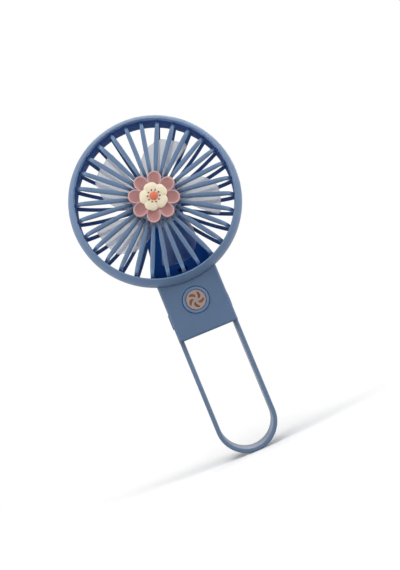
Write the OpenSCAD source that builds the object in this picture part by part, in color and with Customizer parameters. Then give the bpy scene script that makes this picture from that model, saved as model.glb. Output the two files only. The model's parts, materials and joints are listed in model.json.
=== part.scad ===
// Mini desk fan: a round caged head on a small battery housing, with a loop
// handle that hangs straight down for the hand and folds back as a desk stand.
// Millimetres. +Z is up, the fan blows towards -Y, the loop's lowest point is z = 0.

/* [Head] */
// Outer diameter of the round head
head_d = 93.2; // [80:0.1:130]
// Depth of the head ring from its front lip to its back edge
head_depth = 20; // [18:0.5:23]
// Width of the rounded front rim, from the head's outside to its opening
lip_w = 4.4; // [3.8:0.05:5]
// Number of spokes in each grille
spoke_count = 30; // [18:2:48]
// Width of a front spoke at its widest
spoke_w = 2.4; // [1.6:0.1:4]
// Width of a rear spoke
rear_spoke_w = 1.8; // [1.2:0.1:4]
// How far the middle of the front grille stands in front of the lip
hub_rise = 2; // [1:0.5:3]

/* [Impeller] */
// Gap between the blade tips and the inside of the ring
tip_gap = 7.4; // [2:0.1:10]
// Number of blades
blade_count = 5; // [3:1:6]
// Width of a blade, seen from the front
blade_chord = 16.5; // [12:0.5:24]
// Thickness of a blade
blade_t = 1.1; // [0.8:0.1:2]
// Angle of the first blade's trailing edge
blade_start = 41.6; // [0:0.1:120]

/* [Housing] */
// Width of the battery housing
housing_w = 33.4; // [31:0.1:50]
// Depth of the battery housing
housing_d = 23; // [22:0.5:30]
// Height of the housing, from its base to the underside of the head
housing_h = 28.65; // [28:0.05:40]
// Height of the button above the base
button_h = 18; // [14:0.1:20]
// Diameter of the button's cap
button_d = 14; // [10:0.1:16]
// How far the button goes in
button_travel = 0.6; // [0.3:0.1:1]
// Thickness of the moulded walls
wall = 1.8; // [1.4:0.1:2.4]

/* [Handle] */
// How far the loop hangs below the base
loop_drop = 68; // [40:1:110]
// Thickness of the loop's band
band_t = 2.3; // [1.6:0.1:2.6]
// Width of the loop's band, front to back
band_w = 15; // [10:0.5:18]
// Height of the loop's pivots above the base
pivot_h = 12; // [9:0.5:16]
// How far the loop folds back
fold_angle = 100; // [60:1:105]

/* [Badge] */
// Diameter of the flower over its petals
flower_d = 27.3; // [20:0.1:34]
// Number of petals
petal_count = 8; // [5:1:12]
// Diameter of the small blossom in the flower's middle
blossom_d = 15.5; // [10:0.5:18]
// Number of petals on the small blossom
blossom_count = 5; // [4:1:8]

/* [Hidden] */
$fn = 64;
big_fn = 256;
seam = 0.15;
snug = 0.02;

// heights
base_z = loop_drop;
axis_h = housing_h + head_d / 2;
head_z = base_z + axis_h;
button_z = base_z + button_h;
pivot_z = base_z + pivot_h;

// depths, counted backwards from the plane of the front lip
face_d = 7;
back_d = face_d + housing_d;
cover_t = wall;
cover_d = back_d - cover_t;
pivot_d = face_d + housing_d / 2;
board_d = 15;
board_t = 1.2;
tab_d = 22;
tab_t = 2;
tab_x = 7.5;
tab_h = 7.6;
tab_below = 2.6;

// badge, counted forwards from the plane of the front lip
pad_h = 0.2;
flower_t = 2.6;
flower_z = hub_rise + pad_h;
blossom_z = flower_z + flower_t;
blossom_edge = 0.7;
blossom_dome = 1.3;
blossom_mid = 1.7;
eye_r = 2.3;
eye_h = 1.3;
badge_peg_r = 1.5;
badge_front = blossom_z + blossom_mid + eye_h;

// the whole part sits half in front of y = 0 and half behind it
lip_y = -(back_d - badge_front) / 2;

// head ring
ring_ro = head_d / 2;
lip_r = ring_ro - lip_w;
ring_ri = lip_r + 0.7;
ring_split = head_depth / 2;
bulge_r = 15;
lip_ease = 0.7;
rear_ro = ring_ro - 0.5;
spigot_r = (rear_ro + ring_ri) / 2;
spigot_l = 2;
rear_round = 2.8;
saddle_t = 1.6;

// front spokes: a shallow dome that rolls back into the ring
grille_hub_r = 12;
spoke_t = 2.8;
spoke_root_w = spoke_w * 0.66;
spoke_tip_w = spoke_w * 0.7;
spoke_wide_r = lip_r * 0.62;
dome_r = 290;
roll_out = 20;
roll_at = [lip_r - 16.6, hub_rise - 17.1];
root_d = 7.4;
peg_r = 2;

// impeller
impeller_r = ring_ri - tip_gap;
hub_r = 13.5;
hub_wall = 1.1;
hub_front = 6.5;
hub_back = 16.5;
hub_round = 2.5;
boss_r = 3.2;
boss_back = 11.8;
arc_r = 28.7;
arc_y = 20.1;
arc_z = 12;
blade_twist = 8;
lead_r = 60;
tip_round_r = 14.2;

// motor
can_r = 12;
can_t = 0.6;
can_front = 13;
can_back = 24.6;
shaft_r = 1;
shaft_front = 7.6;
shaft_back = 25.8;
bush_r = 2.6;
run_gap = 0.05;
cup_ro = 14.6;
cup_front = 17.6;
cup_floor = 26;
cup_wall = 1.6;
floor_hole_r = 10;
rear_spoke_t = 1.8;
spoke_bite = 0.8;
dish_d = cup_floor + 0.4;
dish_out = 28.5;
dish_at = [22, dish_out - dish_d];
magnet_r = 9.7;
core_r = 9.2;
core_front = 15;
core_back = 20.5;
shoe_t = 1.7;
pole_w = 3;
winding_t = 1.5;
winding_end = 0.6;
brush_d = 22.2;
terminal_x = 6;

// spine behind the head
spine_front = 18.5;
spine_top_w = 21;
spine_foot = -(rear_ro - 1.5);
wire_x = 4;
wire_r = 0.5;
wire_sides = 8;
wire_d = cover_d - 1.1;
gate_w = 13;
gate_h = 6;
slot_w = 5.2;
slot_h = 2;
slot_up = 7;

// button
cap_r = button_d / 2;
hole_r = cap_r + 0.45;
cap_front = face_d - 0.6;
flange_r = cap_r + 1.3;
flange_t = 1;
inlay_r = cap_r - 1.3;
inlay_t = 0.9;
stem_r = 1.75;
stem_back = 11.2;
switch_w = 6;
switch_h = 3.1;
switch_floor = board_d - 1;
plunger_back = switch_floor - button_travel - 0.2;

// housing
half_w = housing_w / 2;
edge_r = 1.2;
pocket_gap = 0.4;
pocket_x = half_w - band_t - 0.3;
inner_x = pocket_x - wall;
upper_x = half_w - wall;
pocket_top = pivot_z + 10.6;
boss_x = 9.3;
boss_z = base_z + 4.6;
neck_x = 11.5;
neck_z = base_z + 27.5;
screw_r = 0.8;
head_r = 1.9;
head_sink = 1;
boss_ro = 2.3;
shoulder = 0.8;
post_front = face_d + 0.5;
rib_x = 8.6;
rib_w = 2;
rib_h = 1.6;
battery_bottom = base_z + 8.5;
battery_top = base_z + 24.5;
battery_half = 11.2;
foam_t = 1;
foam_w = 16;
board_top = battery_top - 0.5;
usb_w = 8.94;
usb_h = 3.26;
usb_d = board_d - usb_h / 2;
usb_len = 7.3;
tongue_w = 6.7;
tongue_t = 0.7;
pin_r = 1.5;
pin_head_r = 4.2;
pin_head_t = 0.55;

// frames: on the head's axis, x right, y up, z forwards from the lip's plane
module on_head() {
  translate([0, lip_y, head_z]) rotate([90, 0, 0]) children();
}

// on the button's axis, z forwards from the lip's plane
module on_button() {
  translate([0, lip_y, button_z]) rotate([90, 0, 0]) children();
}

// upright, with y counted backwards from the lip's plane
module at_lip() {
  translate([0, lip_y, 0]) children();
}

module ring_of(n, start = 0) {
  for (i = [0 : n - 1]) rotate([0, 0, start + i * 360 / n]) children();
}

module both_sides() {
  children();
  mirror([1, 0, 0]) children();
}

// a disc between two depths on an axis frame
module disc(r, front, back) {
  translate([0, 0, -back]) cylinder(r = r, h = back - front);
}

module tube(ro, ri, front, back) {
  difference() {
    disc(ro, front, back);
    disc(ri, front - 1, back + 1);
  }
}

// a round post or hole between two depths, in the upright frame
module post(x, z, r, front, back) {
  translate([x, front, z]) rotate([-90, 0, 0]) cylinder(r = r, h = back - front);
}

// a plate between two depths, from an outline in x and z
module slab(front, back) {
  translate([0, back, 0]) rotate([90, 0, 0]) linear_extrude(back - front) children();
}

// a wire as one tube, swept along a smoothed route
function unit(v) = v / norm(v);
function route_point(p, i, t) =
  let (last = len(p) - 1, a = p[max(i - 1, 0)], b = p[i], c = p[i + 1], d = p[min(i + 2, last)])
  0.5 * (2 * b + (c - a) * t + (2 * a - 5 * b + 4 * c - d) * t * t + (3 * b - a - 3 * c + d) * t * t * t);
function smooth_route(p, steps) = [
  for (i = [0 : len(p) - 2], k = [0 : steps - 1]) route_point(p, i, k / steps),
  p[len(p) - 1]
];
function ring_points(at, along, r) =
  let (u = unit(cross(along, [1, 0, 0])), v = cross(along, u))
  [for (k = [0 : wire_sides - 1]) at + r * (cos(k * 360 / wire_sides) * u + sin(k * 360 / wire_sides) * v)];

module wire(route) {
  q = smooth_route(route, 4);
  last = len(q) - 1;
  n = wire_sides;
  points = [
    for (i = [0 : last], p = ring_points(q[i], unit(q[min(i + 1, last)] - q[max(i - 1, 0)]), wire_r)) p
  ];
  sides = [
    for (i = [0 : last - 1], k = [0 : n - 1])
      let (a = i * n + k, b = i * n + (k + 1) % n)
        for (f = [[a, a + n, b + n], [a, b + n, b]]) f
  ];
  ends = [
    for (k = [1 : n - 2]) for (f = [[0, k, k + 1], [last * n, last * n + k + 1, last * n + k]]) f
  ];
  polyhedron(points = points, faces = concat(sides, ends));
}

// front ring and spokes

module lip_section() {
  difference() {
    intersection() {
      translate([lip_r, -ring_split]) square([lip_w + 1, ring_split]);
      translate([ring_ro - bulge_r, -ring_split]) circle(bulge_r, $fn = big_fn);
    }
    translate([lip_r + lip_ease, -lip_ease]) difference() {
      translate([-lip_ease - 1, 0]) square(lip_ease + 1);
      circle(lip_ease);
    }
    translate([lip_r - 1, -ring_split - 1]) square([ring_ri - lip_r + 1, ring_split + 1 - root_d]);
    translate([ring_ri - 1, -ring_split - 1]) square([spigot_r + 0.1 - ring_ri + 1, spigot_l + 1]);
  }
}

// everything inside a round of radius r about a point, and from there to the axis
module rolled(at, r) {
  translate(at) {
    circle(r, $fn = big_fn);
    translate([-at[0], -r]) square([at[0], 2 * r]);
  }
}

module dome_section() {
  intersection() {
    difference() {
      intersection() {
        translate([0, hub_rise - dome_r]) circle(dome_r, $fn = big_fn);
        rolled(roll_at, roll_out);
      }
      intersection() {
        translate([0, hub_rise - spoke_t - dome_r]) circle(dome_r, $fn = big_fn);
        rolled(roll_at, roll_out - spoke_t);
      }
    }
    translate([0, -root_d]) square([lip_r + 0.6, root_d + hub_rise + 1]);
  }
}

module spoke_outline() {
  in_r = grille_hub_r - 1;
  out_r = lip_r + 1;
  wide_out = spoke_wide_r + 8;
  stations = [[in_r, spoke_root_w], [spoke_wide_r, spoke_w], [wide_out, spoke_w], [out_r, spoke_tip_w]];
  polygon([
    for (p = stations) [p[0], -p[1] / 2],
    for (i = [len(stations) - 1 : -1 : 0]) [stations[i][0], stations[i][1] / 2]
  ]);
}

module front_grille() {
  color([0.38, 0.47, 0.6]) on_head() difference() {
    union() {
      rotate_extrude($fn = 180) lip_section();
      intersection() {
        rotate_extrude($fn = 180) dome_section();
        translate([0, 0, -root_d - 1]) linear_extrude(root_d + hub_rise + 3) {
          circle(grille_hub_r);
          ring_of(spoke_count, 90) spoke_outline();
        }
      }
      disc(grille_hub_r - 0.8, -flower_z, spoke_t - hub_rise);
    }
    disc(peg_r + 0.05, -flower_z - 1, 6);
  }
}

// rear ring, rear spokes, motor cup and spine

module rear_ring_section() {
  difference() {
    union() {
      translate([ring_ri, -head_depth]) square([rear_ro - ring_ri, head_depth - ring_split]);
      translate([ring_ri, -ring_split - 1]) square([spigot_r - ring_ri, spigot_l + 0.9]);
    }
    translate([rear_ro - rear_round, -head_depth + rear_round]) difference() {
      translate([0, -rear_round - 1]) square(rear_round + 1);
      circle(rear_round);
    }
  }
}

// a shallow dish that rolls forwards into the ring
module rear_dish_section() {
  intersection() {
    difference() {
      rolled(dish_at, dish_out);
      rolled(dish_at, dish_out - rear_spoke_t);
    }
    translate([cup_ro - 1, -dish_d])
      square([ring_ri + spoke_bite + 1 - cup_ro, dish_d - ring_split - spigot_l]);
  }
}

module spine_outline(inset = 0) {
  intersection() {
    polygon([
      [-half_w + inset, -head_d], [half_w - inset, -head_d], [half_w - inset, spine_foot],
      [spine_top_w / 2 - inset, 0], [-spine_top_w / 2 + inset, 0], [-half_w + inset, spine_foot]
    ]);
    circle(rear_ro - inset, $fn = 180);
  }
}

module rear_shell() {
  color([0.07, 0.14, 0.3]) on_head() difference() {
    union() {
      rotate_extrude($fn = 180) rear_ring_section();
      intersection() {
        rotate_extrude($fn = 180) rear_dish_section();
        translate([0, 0, -back_d]) linear_extrude(back_d - ring_split) difference() {
          ring_of(spoke_count, 90)
            translate([cup_ro - spoke_bite, -rear_spoke_w / 2])
              square([ring_ri + 2 * spoke_bite - cup_ro, rear_spoke_w]);
          spine_outline();
        }
      }
      translate([0, 0, -cover_d]) linear_extrude(cover_d - spine_front) spine_outline();
      disc(cup_ro, cup_front, cover_d);
      // two tabs that the upper screws clamp inside the housing
      both_sides()
        translate([tab_x, neck_z - head_z - tab_below, -tab_d - tab_t])
          cube([upper_x - tab_x - seam, tab_h, tab_t]);
    }
    // wire channel, closed by the back cover
    difference() {
      translate([0, 0, -cover_d - 1]) linear_extrude(cover_d + 1 - spine_front - wall) spine_outline(wall);
      disc(cup_ro, 0, back_d);
      both_sides()
        translate([tab_x, neck_z - head_z - tab_below, -tab_d - tab_t]) cube([half_w, tab_h, tab_t]);
    }
    // motor bore, floor opening and the space behind the floor
    disc(can_r + run_gap, 0, can_back);
    disc(floor_hole_r, can_back - 1, back_d);
    disc(cup_ro - cup_wall, cup_floor, back_d);
    // gates that let the wires out of the cup and down into the housing
    translate([-gate_w / 2, -cup_ro - 2, -back_d]) cube([gate_w, gate_h, back_d - cup_floor]);
    translate([-gate_w / 2, -ring_ro - 1, -back_d]) cube([gate_w, gate_h, back_d - spine_front - wall]);
    // wire slot in the front of the spine, above the rim
    translate([-slot_w / 2, -ring_ro + slot_up, -spine_front - wall - 1]) cube([slot_w, slot_h, wall + 2]);
    // clearance for the upper screws
    both_sides() translate([neck_x, neck_z - head_z, 0]) disc(screw_r + 0.15, tab_d - 1, tab_d + tab_t + 1);
  }
}

// housing

module housing_blank() {
  intersection() {
    translate([0, 0, base_z]) linear_extrude(axis_h) difference() {
      translate([-half_w, face_d]) square([housing_w, housing_d - cover_t]);
      both_sides() translate([half_w - edge_r, face_d + edge_r]) difference() {
        translate([0, -edge_r - 1]) square(edge_r + 1);
        circle(edge_r);
      }
    }
    rotate([90, 0, 90]) translate([0, 0, -housing_w]) linear_extrude(2 * housing_w) difference() {
      translate([face_d, base_z]) square([housing_d - cover_t, axis_h]);
      translate([face_d + edge_r, base_z + edge_r]) difference() {
        translate([-edge_r - 1, -edge_r - 1]) square(edge_r + 1);
        circle(edge_r);
      }
    }
  }
}

// the space that a leg of the loop sweeps, from hanging to folded back
module pocket_outline() {
  half = band_w / 2 + pocket_gap;
  circle(half + 0.1);
  translate([-half, -pivot_h - 1]) square([2 * half, pivot_h + 1]);
  rotate(fold_angle) translate([-half, -housing_d]) square([2 * half, housing_d]);
  translate([0, -pivot_h - 1]) square([housing_d, pivot_h + 1]);
}

module leg_pocket() {
  translate([pocket_x, pivot_d, pivot_z]) rotate([90, 0, 90]) linear_extrude(half_w) pocket_outline();
}

module housing_front() {
  color([0.38, 0.47, 0.6]) at_lip() difference() {
    union() {
      difference() {
        housing_blank();
        // saddle for the head ring, with a step for its wider front half
        translate([0, 0, head_z]) rotate([-90, 0, 0]) {
          cylinder(r = rear_ro + seam, h = back_d + 1, $fn = 180);
          cylinder(r = ring_ro + seam, h = ring_split + seam, $fn = 180);
        }
        // lower and upper parts of the inside
        translate([-inner_x, face_d + wall, base_z + wall])
          cube([2 * inner_x, housing_d, pocket_top - base_z - wall]);
        difference() {
          translate([-upper_x, face_d + wall, pocket_top - 0.01]) cube([2 * upper_x, housing_d, axis_h]);
          translate([0, 0, head_z]) rotate([-90, 0, 0])
            cylinder(r = ring_ro + saddle_t, h = tab_d - 0.3, $fn = 180);
        }
        both_sides() leg_pocket();
      }
      both_sides() {
        // lower screw posts, with a shoulder that the board sits on
        post(boss_x, boss_z, boss_ro, post_front, cover_d);
        post(boss_x, boss_z, boss_ro + shoulder, post_front, board_d);
        // upper screw posts, under the tabs of the rear shell
        post(neck_x, neck_z, boss_ro, post_front, tab_d);
        // ribs for the top of the board
        translate([rib_x, post_front, board_top - rib_h - 0.5]) cube([rib_w, board_d - post_front, rib_h]);
        // pivot bosses
        translate([inner_x - 1, pivot_d, pivot_z]) rotate([0, 90, 0]) cylinder(r = 2 * pin_r, h = 1.5);
      }
    }
    both_sides() {
      post(boss_x, boss_z, screw_r, cover_d - 9, back_d);
      post(neck_x, neck_z, screw_r, tab_d - 6, back_d);
      translate([0, pivot_d, pivot_z]) rotate([0, 90, 0]) cylinder(r = pin_r, h = half_w);
    }
    post(0, button_z, hole_r, face_d - 1, face_d + wall + 1);
    // opening for the charging socket
    translate([0, usb_d, base_z - 1]) linear_extrude(wall + 2) stadium(usb_w + 0.5, usb_h + 0.5);
  }
}

module stadium(w, h) {
  square([w - h, h], center = true);
  translate([(w - h) / 2, 0]) circle(d = h);
  translate([-(w - h) / 2, 0]) circle(d = h);
}

module cover_outline() {
  translate([-pocket_x + 0.1, base_z]) square([2 * pocket_x - 0.2, axis_h / 2]);
  translate([0, head_z]) {
    polygon([
      [-half_w, pocket_top - head_z], [half_w, pocket_top - head_z], [half_w, spine_foot],
      [spine_top_w / 2, 0], [-spine_top_w / 2, 0], [-half_w, spine_foot]
    ]);
    circle(cup_ro);
  }
}

module back_cover() {
  color([0.07, 0.14, 0.3]) at_lip() difference() {
    union() {
      slab(cover_d, back_d) cover_outline();
      // posts that press on the tabs, and a spigot in the back of the motor cup
      both_sides() post(neck_x, neck_z, boss_ro, tab_d + tab_t, cover_d + 0.5);
      translate([0, cover_d - 0.8, head_z]) rotate([-90, 0, 0]) difference() {
        cylinder(r = cup_ro - 1.75, h = 1);
        translate([0, 0, -1]) cylinder(r = cup_ro - 2.9, h = 3);
        translate([-8, 0, -1]) cube([16, cup_ro, 3]);
      }
    }
    both_sides() {
      post(boss_x, boss_z, screw_r + seam, cover_d - 1, back_d);
      post(neck_x, neck_z, screw_r + seam, tab_d, back_d);
      post(boss_x, boss_z, head_r + seam, back_d - head_sink, back_d + 1);
      post(neck_x, neck_z, head_r + seam, back_d - head_sink, back_d + 1);
    }
  }
}

module cover_screw(x, z, tip) {
  translate([x, back_d - head_sink, z]) rotate([90, 0, 0]) difference() {
    union() {
      translate([0, 0, -0.85]) cylinder(r = head_r, h = 0.85);
      cylinder(r = screw_r, h = back_d - head_sink - tip);
    }
    for (a = [0, 90]) rotate([0, 0, a]) translate([-1.1, -0.22, -1]) cube([2.2, 0.44, 0.6]);
  }
}

module cover_screws() {
  color([0.62, 0.63, 0.65]) at_lip() both_sides() {
    cover_screw(boss_x, boss_z, cover_d - 7);
    cover_screw(neck_x, neck_z, tab_d - 5);
  }
}

// badge

module flower_outline() {
  petal_r = flower_d * 0.139;
  circle(flower_d * 0.34);
  ring_of(petal_count, 180 / petal_count) translate([flower_d / 2 - petal_r, 0]) circle(petal_r);
}

module flower_badge() {
  dish_r = flower_d * 0.108;
  dish_h = 0.6;
  dish_ball = (dish_r * dish_r + dish_h * dish_h) / (2 * dish_h);
  color([0.8, 0.52, 0.53]) on_head() difference() {
    union() {
      translate([0, 0, flower_z]) linear_extrude(flower_t) flower_outline();
      disc(peg_r, -flower_z - 0.5, 0);
    }
    ring_of(petal_count, 180 / petal_count)
      translate([flower_d * 0.361, 0, blossom_z - dish_h + dish_ball]) sphere(r = dish_ball, $fn = 128);
    disc(badge_peg_r, -blossom_z - 1, 1.6 - blossom_z);
  }
}

// a small five-petalled blossom of domed petals, with a peg into the flower
module blossom_petals() {
  petal_r = blossom_d * 0.235;
  ball = (petal_r * petal_r + blossom_dome * blossom_dome) / (2 * blossom_dome);
  color([0.86, 0.81, 0.7]) on_head() translate([0, 0, blossom_z]) {
    cylinder(r = blossom_d * 0.26, h = blossom_mid);
    ring_of(blossom_count, 90) translate([blossom_d / 2 - petal_r, 0, 0]) intersection() {
      cylinder(r = petal_r, h = blossom_edge + blossom_dome);
      translate([0, 0, blossom_edge + blossom_dome - ball]) sphere(r = ball, $fn = 128);
    }
    disc(badge_peg_r - 0.05, -0.1, 1.5);
  }
}

module blossom_eye() {
  ball = (eye_r * eye_r + eye_h * eye_h) / (2 * eye_h);
  color([0.78, 0.4, 0.33]) on_head() translate([0, 0, blossom_z + blossom_mid]) intersection() {
    cylinder(r = eye_r + 1, h = eye_h + 1);
    translate([0, 0, eye_h - ball]) sphere(r = ball);
  }
}

module stamen_dots() {
  dot_r = 0.5;
  color([0.3, 0.16, 0.12]) on_head() translate([0, 0, blossom_z + blossom_mid])
    ring_of(blossom_count, 90 + 180 / blossom_count) translate([eye_r + 0.9, 0, 0]) intersection() {
      sphere(r = dot_r, $fn = 32);
      cylinder(r = 2 * dot_r, h = 2 * dot_r);
    }
}

// impeller and motor

module hub_section() {
  difference() {
    union() {
      difference() {
        translate([0, -hub_back]) square([hub_r, hub_back - hub_front]);
        translate([0, -hub_back - 1]) square([hub_r - hub_wall, hub_back + 1 - hub_front - 1.5]);
        translate([hub_r - hub_round, -hub_front - hub_round]) difference() {
          square(hub_round + 1);
          circle(hub_round);
        }
      }
      translate([0, -boss_back]) square([boss_r, boss_back - hub_front - 1]);
    }
    translate([0, -boss_back - 1]) square([shaft_r, boss_back + 1 - shaft_front]);
  }
}

module blade_outline() {
  difference() {
    intersection() {
      circle(impeller_r, $fn = 128);
      translate([20, blade_chord - lead_r]) circle(lead_r, $fn = 128);
      translate([impeller_r - 13.3, 5]) {
        circle(tip_round_r, $fn = 128);
        translate([-impeller_r, -6]) square([impeller_r, 22]);
      }
      translate([5, 0]) square([impeller_r, blade_chord + 5]);
    }
    circle(hub_r - hub_wall / 2);
  }
}

// one cambered blade: a slice of a thin cylinder whose axis leans, so that the pitch eases towards the tip
module blade() {
  intersection() {
    translate([0, 0, -hub_back - 4]) linear_extrude(hub_back) blade_outline();
    translate([impeller_r * 0.7, arc_y, arc_z])
      rotate([0, 0, -blade_twist]) rotate([0, 90, 0]) difference() {
        cylinder(r = arc_r + blade_t / 2, h = 2 * impeller_r, center = true, $fn = 180);
        cylinder(r = arc_r - blade_t / 2, h = 2 * impeller_r + 2, center = true, $fn = 180);
      }
  }
}

module impeller() {
  color([0.86, 0.87, 0.89]) on_head() {
    rotate_extrude($fn = 96) hub_section();
    ring_of(blade_count, blade_start) blade();
  }
}

module motor_shaft() {
  color([0.75, 0.76, 0.78]) on_head() disc(shaft_r, shaft_front, shaft_back);
}

module armature_core() {
  color([0.45, 0.46, 0.48]) on_head() difference() {
    translate([0, 0, -core_back]) linear_extrude(core_back - core_front) {
      circle(pole_w);
      ring_of(3, 90) {
        translate([0, -pole_w / 2]) square([core_r - shoe_t + 0.1, pole_w]);
        intersection() {
          difference() {
            circle(core_r);
            circle(core_r - shoe_t);
          }
          polygon([[0, 0], [12, -13], [12, 13]]);
        }
      }
    }
    disc(shaft_r, 0, back_d);
  }
}

module armature_windings() {
  in_x = 3.6;
  out_x = 6.7;
  color([0.72, 0.4, 0.2]) on_head() ring_of(3, 90) difference() {
    translate([in_x, -pole_w / 2 - winding_t, -core_back - winding_end])
      cube([out_x - in_x, pole_w + 2 * winding_t, core_back - core_front + 2 * winding_end]);
    translate([0, -pole_w / 2 - snug, -core_back - snug])
      cube([core_r, pole_w + 2 * snug, core_back - core_front + 2 * snug]);
  }
}

module commutator() {
  color([0.8, 0.5, 0.28]) on_head() tube(1.9, shaft_r, brush_d - 0.9, brush_d + 0.7);
}

module motor_can() {
  color([0.68, 0.69, 0.71]) on_head() difference() {
    disc(can_r, can_front, can_back);
    disc(can_r - can_t, can_front + can_t, can_back + 1);
    disc(bush_r, can_front - 1, can_front + 2);
  }
}

module motor_end_cap() {
  color([0.14, 0.14, 0.15]) on_head() difference() {
    union() {
      disc(can_r - can_t, can_back - 1.6, can_back);
      disc(bush_r + 0.9, can_back - 0.5, can_back + 1.4);
    }
    disc(bush_r, can_back - 3, can_back + 3);
    both_sides() translate([terminal_x - 0.3, -1.1, -can_back - 1]) cube([0.6, 2.2, 3]);
  }
}

module motor_magnets() {
  color([0.2, 0.2, 0.22]) on_head() intersection() {
    tube(can_r - can_t - snug, magnet_r, core_front - 0.8, core_back + 1.9);
    translate([0, 0, -23]) linear_extrude(10) both_sides() polygon([[0, 0], [14, -20], [14, 20]]);
  }
}

module motor_bush_front() {
  color([0.72, 0.58, 0.34]) on_head() tube(bush_r, shaft_r + run_gap, can_front - 0.7, can_front + 1.5);
}

module motor_bush_rear() {
  color([0.72, 0.58, 0.34]) on_head() tube(bush_r, shaft_r + run_gap, can_back - 1.2, can_back + 1.2);
}

// solder tabs through the end cap, each with a brush that bears on the commutator
module motor_terminals() {
  color([0.8, 0.64, 0.35]) on_head() both_sides() {
    translate([terminal_x - 0.3, -1.1, -can_back - 2]) cube([0.6, 2.2, 4]);
    translate([1.95, -0.6, -brush_d - 0.5]) cube([terminal_x - 1.9, 1.2, 0.5]);
  }
}

// from a solder tab, out of the cup, down the spine and over the cell to the board
module motor_lead(side) {
  solder_d = board_d + board_t + wire_r;
  over_cell = battery_top + 1.3;
  at_lip() wire([
    [side * terminal_x, 25.9, head_z - 1.13],
    [side * terminal_x, 25.95, head_z - 2.6],
    [side * (terminal_x - 0.6), wire_d - 0.2, head_z - 6],
    [side * wire_x, wire_d, head_z - 13],
    [side * wire_x, wire_d, head_z - 30],
    [side * wire_x, wire_d, over_cell + 3.6],
    [side * wire_x, wire_d - 0.7, over_cell + 1.4],
    [side * wire_x, wire_d - 3.2, over_cell],
    [side * wire_x, solder_d + 2.6, over_cell],
    [side * wire_x, solder_d + 0.4, over_cell - 1],
    [side * wire_x, solder_d, over_cell - 2.4]
  ]);
}

module motor_lead_red() {
  color([0.7, 0.1, 0.08]) motor_lead(1);
}

module motor_lead_black() {
  color([0.06, 0.06, 0.07]) motor_lead(-1);
}

// board, switch, button and charging socket

module circuit_board() {
  bottom = base_z + wall + 0.2;
  color([0.1, 0.32, 0.2]) at_lip() slab(board_d, board_d + board_t) difference() {
    translate([-battery_half, bottom]) square([2 * battery_half, board_top - bottom]);
    both_sides() translate([boss_x, boss_z]) circle(boss_ro + 0.1);
  }
}

// each chip: left edge, height above the base, width, height and thickness
module board_chips() {
  behind = [[-5.4, 2.6, 4, 4.6, 1.2], [1.4, 3, 3, 3, 1.1]];
  before = [[-10.6, 17.3, 4, 4, 2], [7.4, 10, 3, 2, 1.1], [7.6, 15, 1.6, 3, 0.8]];
  color([0.08, 0.08, 0.09]) at_lip() {
    for (c = behind) translate([c[0], board_d + board_t, base_z + c[1]]) cube([c[2], c[4], c[3]]);
    for (c = before) translate([c[0], board_d - c[4], base_z + c[1]]) cube([c[2], c[4], c[3]]);
  }
}

module tact_switch() {
  color([0.16, 0.16, 0.17]) on_button() difference() {
    translate([-switch_w / 2, -switch_w / 2, -board_d]) cube([switch_w, switch_w, switch_h]);
    disc(stem_r + 0.1, stem_back - 1, switch_floor);
  }
}

module switch_plunger() {
  color([0.1, 0.1, 0.1]) on_button() disc(stem_r, stem_back, plunger_back);
}

module button_cap() {
  round = 0.5;
  color([0.42, 0.52, 0.66]) on_button() rotate_extrude($fn = 96) difference() {
    union() {
      translate([0, -face_d - wall - 0.2]) square([cap_r, face_d + wall + 0.2 - cap_front]);
      translate([0, -face_d - wall - flange_t]) square([flange_r, flange_t]);
      translate([0, -stem_back]) square([stem_r, 2.5]);
    }
    translate([0, -cap_front - inlay_t + 0.1]) square([inlay_r + 0.05, inlay_t + 1]);
    translate([cap_r - round, -cap_front - round]) difference() {
      square(round + 1);
      circle(round);
    }
  }
}

module button_inlay() {
  front = cap_front - 0.1;
  color([0.74, 0.62, 0.56]) on_button() disc(inlay_r, front, front + inlay_t);
}

module usb_shell() {
  color([0.72, 0.73, 0.75]) at_lip() translate([0, usb_d, base_z + 0.4]) difference() {
    linear_extrude(usb_len) stadium(usb_w, usb_h);
    translate([0, 0, -1]) linear_extrude(usb_len + 0.7) stadium(usb_w - 0.6, usb_h - 0.6);
  }
}

module usb_tongue() {
  color([0.08, 0.08, 0.09]) at_lip() translate([0, usb_d, base_z + 0.4]) {
    translate([-tongue_w / 2, -tongue_t / 2, 1.4]) cube([tongue_w, tongue_t, usb_len - 1.7]);
    translate([0, 0, usb_len - 1.7]) linear_extrude(1.4) stadium(usb_w - 0.7, usb_h - 0.7);
  }
}

module battery_cell() {
  r = 2;
  front = board_d + board_t + 1.4;
  back = cover_d - foam_t;
  tall = battery_top - battery_bottom;
  color([0.62, 0.65, 0.7]) at_lip() translate([0, 0, battery_bottom]) linear_extrude(tall) {
    translate([-battery_half + r, front]) square([2 * battery_half - 2 * r, back - front]);
    translate([-battery_half, front + r]) square([2 * battery_half, back - front - 2 * r]);
    for (x = [-battery_half + r, battery_half - r], y = [front + r, back - r]) translate([x, y]) circle(r);
  }
}

// foam tape that holds the cell to the back cover
module battery_pad() {
  color([0.2, 0.2, 0.21]) at_lip()
    translate([-foam_w / 2, cover_d - foam_t, battery_bottom + 2])
      cube([foam_w, foam_t, battery_top - battery_bottom - 4]);
}

module battery_lead(side) {
  lead_x = 8;
  solder_d = board_d + board_t + wire_r;
  at_lip() wire([
    [side * lead_x, solder_d + 4.2, battery_top + 0.2],
    [side * lead_x, solder_d + 4.2, battery_top + 1],
    [side * lead_x, solder_d + 2.2, battery_top + 1.5],
    [side * lead_x, solder_d + 0.5, battery_top + 0.6],
    [side * lead_x, solder_d, battery_top - 1.3]
  ]);
}

module battery_lead_red() {
  color([0.7, 0.1, 0.08]) battery_lead(1);
}

module battery_lead_black() {
  color([0.06, 0.06, 0.07]) battery_lead(-1);
}

// loop handle and its pivots

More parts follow.
